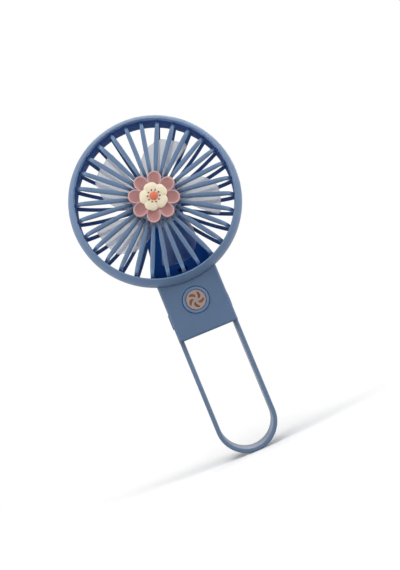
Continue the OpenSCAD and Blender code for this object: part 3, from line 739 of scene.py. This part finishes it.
def front_cage():
    bm = bmesh.new()
    lathe(bm, rim_outline(), RIM_STEPS)
    edge = [(HUB_R - inwards, HUB_RISE - drop) for inwards, drop in HUB_EDGE]
    back = HUB_RISE - SPOKE_THICK
    lathe(bm, [(0, HUB_RISE), *edge, (HUB_R, back), (0, back)])
    for angle in turns(SPOKE_COUNT, TOP):
        spoke(bm, angle)
    # the cage's material carries the painted shade on the inner wall and the painted highlight on the spokes' ends
    cage_blue = moulded("cage_blue", BLUE, worn_and_lit=1.9, soft=0.0, gloss=0.25, over=wall_shade_tip_highlight)
    piece("front_cage", bm, ON_HEAD, cage_blue, "fan_body", ["front_grille"])


def seam_bead():
    """A soft bead that closes the seam between the ring's nose and the housing's saddle."""
    section = [(BEAD_R, -BEAD_FRONT), (BEAD_R, -BEAD_BACK)]
    for depth in spread(BEAD_BACK, BEAD_FRONT, steps=8):
        nose = RING_R - NOSE_R + math.sqrt(NOSE_R ** 2 - (RING_SPLIT - depth) ** 2)
        section.append((nose + BEAD_LIFT, -depth))
    rings = []
    for degrees in spread(-90 - BEAD_HALF, -90 + BEAD_HALF, steps=48):
        angle = math.radians(degrees)
        rings.append([Vector((*polar(r, angle), f)) for r, f in section])
    bm = bmesh.new()
    loft(bm, rings)
    piece("seam_bead", bm, ON_HEAD, MATERIALS["shell_blue"], "fan_body")


# fan wheel

def nip(r, start):
    """0 up to a start radius, and from there on a quarter of an ellipse to 1 at the tip."""
    part = min(max(r - start, 0.0) / (WHEEL_R - start), 1.0)
    return 1 - math.sqrt(1 - part ** 2)


def blade_span(r):
    """Angles in degrees of a blade's two edges: a nearly straight one and one that sweeps back."""
    curl = max((BLADE_CURL_R - r) / BLADE_CURL_LENGTH, 0.0) ** BLADE_CURL_POWER
    start = BLADE_START + BLADE_CURL * curl + BLADE_START_NIP * nip(r, BLADE_START_NIP_R)
    sweep = max(BLADE_CORNER_R - r, 0.0) ** BLADE_SWEEP_POWER
    end = BLADE_END + BLADE_SWEEP * sweep - BLADE_END_NIP * nip(r, BLADE_CORNER_R)
    return start, end


def blade_point(r, share, turn):
    """A point on a blade's middle surface, which is cambered and pitched less towards the tip."""
    start, end = blade_span(r)
    angle = turn + math.radians(start + (end - start) * share)
    ease = BLADE_UNTWIST * (r - BLADE_ROOT_R) / (WHEEL_R - BLADE_ROOT_R)
    rise = ease + (1 - 2 * ease) * (1 - (1 - share) ** BLADE_CAMBER)
    depth = BLADE_FRONT + (BLADE_BACK - BLADE_FRONT) * rise
    return Vector((*polar(r, angle), -depth))


def blade_half(r, share):
    """Half of a blade's thickness, which is less along its edges and its tip."""
    inset = min(share / BLADE_EDGE, (1 - share) / BLADE_EDGE, (WHEEL_R - r) / BLADE_TIP_EASE, 1.0)
    return BLADE_THICK / 2 * (BLADE_THIN + (1 - BLADE_THIN) * math.sqrt(1 - (1 - inset) ** 2))


def wheel_blade(bm, turn):
    shares = [*BLADE_EDGE_STEPS, *spread(0.0, 1.0, steps=12)[1:-1]]
    shares += [1 - step for step in BLADE_EDGE_STEPS[::-1]]
    radii = spread(BLADE_ROOT_R, BLADE_CORNER_R, steps=20)
    radii += [WHEEL_R - step for step in BLADE_TIP_STEPS]
    front, back = [], []
    for r in radii:
        front.append([])
        back.append([])
        for share in shares:
            here = blade_point(r, share, turn)
            across = blade_point(r, min(share + WIDTH_STEP, 1.0), turn)
            across -= blade_point(r, max(share - WIDTH_STEP, 0.0), turn)
            along = here - blade_point(r - RADIUS_STEP, share, turn)
            away = along.cross(across).normalized() * blade_half(r, share)
            front[-1].append(bm.verts.new(here + away))
            back[-1].append(bm.verts.new(here - away))
    for grid in (front, back):
        for here, there in zip(grid, grid[1:]):
            strip(bm, here, there, closed=False)
    for end in (0, -1):
        strip(bm, front[end], back[end], closed=False)
    for end in (0, -1):
        strip(bm, [row[end] for row in front], [row[end] for row in back], closed=False)


def fan_wheel():
    bm = bmesh.new()
    inner = WHEEL_HUB_R - WHEEL_HUB_WALL
    roof = WHEEL_HUB_FRONT + WHEEL_HUB_ROOF
    lathe(bm, rounded([
        (0, -WHEEL_HUB_FRONT, 0), (WHEEL_HUB_R, -WHEEL_HUB_FRONT, WHEEL_HUB_ROUND),
        (WHEEL_HUB_R, -WHEEL_HUB_BACK, WHEEL_RIM_ROUND), (inner, -WHEEL_HUB_BACK, WHEEL_RIM_ROUND),
        (inner, -roof, WHEEL_ROOF_ROUND), (WHEEL_BOSS_R, -roof, WHEEL_BOSS_ROOT_ROUND),
        (WHEEL_BOSS_R, -WHEEL_BOSS_BACK, WHEEL_BOSS_ROUND),
        (WHEEL_BORE_R, -WHEEL_BOSS_BACK, WHEEL_BOSS_ROUND),
        (WHEEL_BORE_R, -WHEEL_BORE_FRONT, 0), (0, -WHEEL_BORE_FRONT, 0),
    ]))
    for turn in turns(BLADE_COUNT):
        wheel_blade(bm, turn)
    piece("fan_wheel", bm, ON_HEAD, MATERIALS["blade_white"], "rotor", ["impeller"],
          SOFT_CREASE)


# badge

def petal_outline(long, wide, taper, notch=0.0):
    """An oval by angle, a little broader outwards, with a soft notch in its outer end."""
    def outline(angle):
        off = angle if angle < math.pi else angle - 2 * math.pi
        x, y = polar(1, angle)
        reach = long - notch * math.exp(-off ** 2 / NOTCH_SPREAD)
        return reach * x, wide * y * (1 + taper * x)

    return outline


def petal(bm, outline, profile, reach, base, turn, around):
    """A closed petal whose middle is at that reach from the head's axis."""
    place = Matrix.Translation((*polar(reach, turn), base)) @ Matrix.Rotation(turn, 4, "Z")
    edge = [outline(angle) for angle in turns(around)]
    rows = []
    for share, height in profile:
        ring = [Vector((x * share, y * share, height)) for x, y in edge]
        rows.append([bm.verts.new(place @ point) for point in ring])
    for here, there in zip(rows, rows[1:]):
        strip(bm, here, there)
    for end in (0, -1):
        middle = bm.verts.new(place @ Vector((0, 0, profile[end][1])))
        for i in range(around):
            bm.faces.new((rows[end][i], rows[end][(i + 1) % around], middle))


def disc(bm, radius, base, steps):
    """The round plate that joins petals."""
    outline = rounded([(0, 0, 0), (radius, 0, DISC_BACK_ROUND),
                       (radius, DISC_THICK, DISC_FRONT_ROUND), (0, DISC_THICK, 0)])
    lathe(bm, [(r, f + base) for r, f in outline], steps)


def flower():
    bm = bmesh.new()
    outline = petal_outline(PETAL_LONG, PETAL_WIDE, PETAL_TAPER)
    reach = FLOWER_R - PETAL_LONG
    for turn in turns(PETAL_COUNT, math.pi / PETAL_COUNT):
        petal(bm, outline, PETAL_PROFILE, reach, FLOWER_BASE, turn, PETAL_AROUND)
    disc(bm, FLOWER_DISC_R, FLOWER_BASE, FLOWER_STEPS)
    piece("flower", bm, ON_HEAD, MATERIALS["petal_pink"], "fan_body", ["flower_badge"],
          SOFT_CREASE)


def blossom():
    """The small blossom in the flower's middle, with its eye and a ring of stamens."""
    bm = bmesh.new()
    outline = petal_outline(BLOSSOM_LONG, BLOSSOM_WIDE, BLOSSOM_TAPER, BLOSSOM_NOTCH)
    reach = BLOSSOM_R - BLOSSOM_LONG
    for turn in turns(BLOSSOM_COUNT, TOP):
        petal(bm, outline, BLOSSOM_PROFILE, reach, BLOSSOM_BASE, turn, BLOSSOM_AROUND)
    disc(bm, BLOSSOM_DISC_R, BLOSSOM_BASE, BLOSSOM_STEPS)
    piece("blossom", bm, ON_HEAD, MATERIALS["petal_cream"], "fan_body", ["blossom_petals"],
          SOFT_CREASE)

    bm = bmesh.new()
    dome = [(EYE_R * math.cos(angle), EYE_BASE + EYE_RISE * math.sin(angle))
            for angle in spread(0, TOP, steps=10)]
    lathe(bm, dome + [(0, EYE_BASE)], EYE_STEPS)
    piece("eye", bm, ON_HEAD, MATERIALS["coral"], "fan_body", ["blossom_eye"],
          SOFT_CREASE)

    bm = bmesh.new()
    for k, turn in enumerate(turns(2 * BLOSSOM_COUNT, TOP)):
        height = EYE_BASE if k % 2 else BLOSSOM_BASE + BLOSSOM_RISE
        place = Matrix.Translation((*polar(DOT_RING_R, turn), height))
        place = place @ Matrix.Diagonal((1, 1, DOT_FLAT, 1))
        bmesh.ops.create_icosphere(bm, subdivisions=3, radius=DOT_R, matrix=place)
    piece("dots", bm, ON_HEAD, MATERIALS["brown"], "fan_body", ["stamen_dots"],
          DOT_CREASE)


# button

def sign_blade(turn):
    """Outline of a curved blade of the sign: thin near the middle, broad and round outwards."""
    edges = ([], [])
    bias, power = SIGN_SWELL_POWERS
    for t in spread(0.0, 1.0, SIGN_STEPS):
        r = SIGN_INNER_R + SIGN_LENGTH * t
        angle = turn + SIGN_CURL * t ** SIGN_CURL_POWER
        half = SIGN_END_HALF
        if 0 < t < 1:
            half = SIGN_NECK_HALF + SIGN_SWELL * math.sin(math.pi * t ** bias) ** power
        for edge, side in zip(edges, (-1, 1)):
            edge.append(polar(r, angle + side * half / r))
    return edges[0] + edges[1][::-1]


def button_face():
    """The inlay with the sign cut into it, over a darker floor."""
    curve = bpy.data.curves.new("sign", "CURVE")
    curve.dimensions = "2D"
    curve.fill_mode = "BOTH"
    curve.extrude = SIGN_DEPTH / 2
    circle = [polar(INLAY_R, angle) for angle in turns(ROUND_STEPS)]
    for ring in [circle] + [sign_blade(turn) for turn in turns(SIGN_COUNT, TOP)]:
        spline = curve.splines.new("POLY")
        spline.points.add(len(ring) - 1)
        for point, (x, y) in zip(spline.points, ring):
            point.co = (x, y, 0, 1)
        spline.use_cyclic_u = True
    holder = bpy.data.objects.new("sign", curve)
    cut = bpy.data.meshes.new_from_object(holder)
    bm = bmesh.new()
    bm.from_mesh(cut)
    bmesh.ops.remove_doubles(bm, verts=bm.verts, dist=WELD)
    bmesh.ops.translate(bm, verts=bm.verts, vec=(0, 0, INLAY_FRONT - SIGN_DEPTH / 2))
    bpy.data.objects.remove(holder)
    bpy.data.curves.remove(curve)
    bpy.data.meshes.remove(cut)
    piece("inlay", bm, ON_BUTTON, MATERIALS["button_beige"], "button", ["button_inlay"],
          INLAY_CREASE)

    bm = bmesh.new()
    top = INLAY_FRONT - SIGN_DEPTH
    lathe(bm, [(0, top), (INLAY_R, top), (INLAY_R, INLAY_BACK), (0, INLAY_BACK)])
    sign_brown = moulded("sign_floor", SIGN_BROWN, rough=0.6)
    piece("sign_floor", bm, ON_BUTTON, sign_brown, "button")


def button_rings():
    """A bevelled bezel round the inlay, on the button, and a seat in the gap round the button.

    The seat's deeper blue is painted shade.
    """
    bm = bmesh.new()
    lathe(bm, [(BEZEL_INNER_R, BEZEL_FOOT), (BEZEL_R, BEZEL_FRONT),
               (BEZEL_R, INLAY_BACK), (BEZEL_INNER_R, INLAY_BACK)])
    piece("button_bezel", bm, ON_BUTTON, MATERIALS["shell_blue"], "button")

    bm = bmesh.new()
    lathe(bm, [(SEAT_INNER_R, SEAT_FRONT), (SEAT_R, SEAT_FRONT),
               (SEAT_R, SEAT_BACK), (SEAT_INNER_R, SEAT_BACK)])
    # painted shade: the seat's deeper blue in the groove
    groove_blue = moulded("groove_blue", SHADE_DEEP_BLUE)
    piece("button_seat", bm, ON_BUTTON, groove_blue, "fan_body")


# stage

def floor_paper():
    """Pale paper that fades into plain white, so that no edge of the floor is seen."""
    n = Material("floor")
    from_camera, seen = n.rays()
    fibre = n.mottle(scale=420, detail=5)
    paper = n.blend(fibre, shade(PAPER_LOW), shade(PAPER_HIGH))
    n.set(Base_Color=n.blend(from_camera, shade(PAPER_LIT), paper), Roughness=0.9)
    length = n.add("ShaderNodeVectorMath", operation="LENGTH")
    n.join(n.place, length.inputs[0])
    far = n.ramp(length.outputs["Value"], *FLOOR_FADE)
    white = n.add("ShaderNodeEmission")
    white.inputs["Color"].default_value = shade(WHITE)
    faded = n.mix(n.math("MULTIPLY", far, seen), n.shader.outputs[0], white.outputs[0])
    n.join(faded, n.surface)
    return n.owner


def studio():
    """An even light all round, which is plain white where it is seen."""
    world = bpy.data.worlds.new("studio")
    bpy.context.scene.world = world
    n = Tree(world, "World Output")
    ambient = n.tree.nodes["Background"]
    white = n.add("ShaderNodeBackground")
    for node, strength in ((ambient, AMBIENT), (white, 1.0)):
        node.inputs["Color"].default_value = shade(WHITE)
        node.inputs["Strength"].default_value = strength
    _, seen = n.rays()
    n.join(n.mix(seen, ambient.outputs[0], white.outputs[0]), n.surface)


def stage():
    mesh = bpy.data.meshes.new("floor")
    bm = bmesh.new()
    bmesh.ops.create_grid(bm, x_segments=1, y_segments=1, size=FLOOR_HALF)
    bm.to_mesh(mesh)
    bm.free()
    mesh.materials.append(floor_paper())
    floor = put("floor", mesh)

    studio()
    for name, place, size, power in LAMPS:
        lamp = bpy.data.lights.new(name, "AREA")
        lamp.size = size
        lamp.energy = power
        obj = put(name, lamp)
        obj.location = place
        aim = LAMP_AIM - Vector(place)
        obj.rotation_euler = aim.to_track_quat("-Z", "Y").to_euler()


def camera():
    lens = bpy.data.cameras.new("camera")
    lens.sensor_fit = "HORIZONTAL"
    lens.sensor_width = SENSOR
    lens.lens = SENSOR * (LOOK_AT - EYE).length / WIDTH_AT_LIP
    lens.clip_start = NEAREST
    obj = put("camera", lens)
    ahead = (LOOK_AT - EYE).normalized()
    right = ahead.cross(Vector((math.sin(LEAN), 0, math.cos(LEAN)))).normalized()
    turn = Matrix((right, right.cross(ahead), -ahead)).transposed().to_4x4()
    obj.matrix_world = Matrix.Translation(EYE) @ turn
    bpy.context.scene.camera = obj


dress_nodes()
front_cage()
seam_bead()
fan_wheel()
flower()
blossom()
button_face()
button_rings()
stage()
camera()
bpy.context.scene.view_settings.view_transform = "Standard"
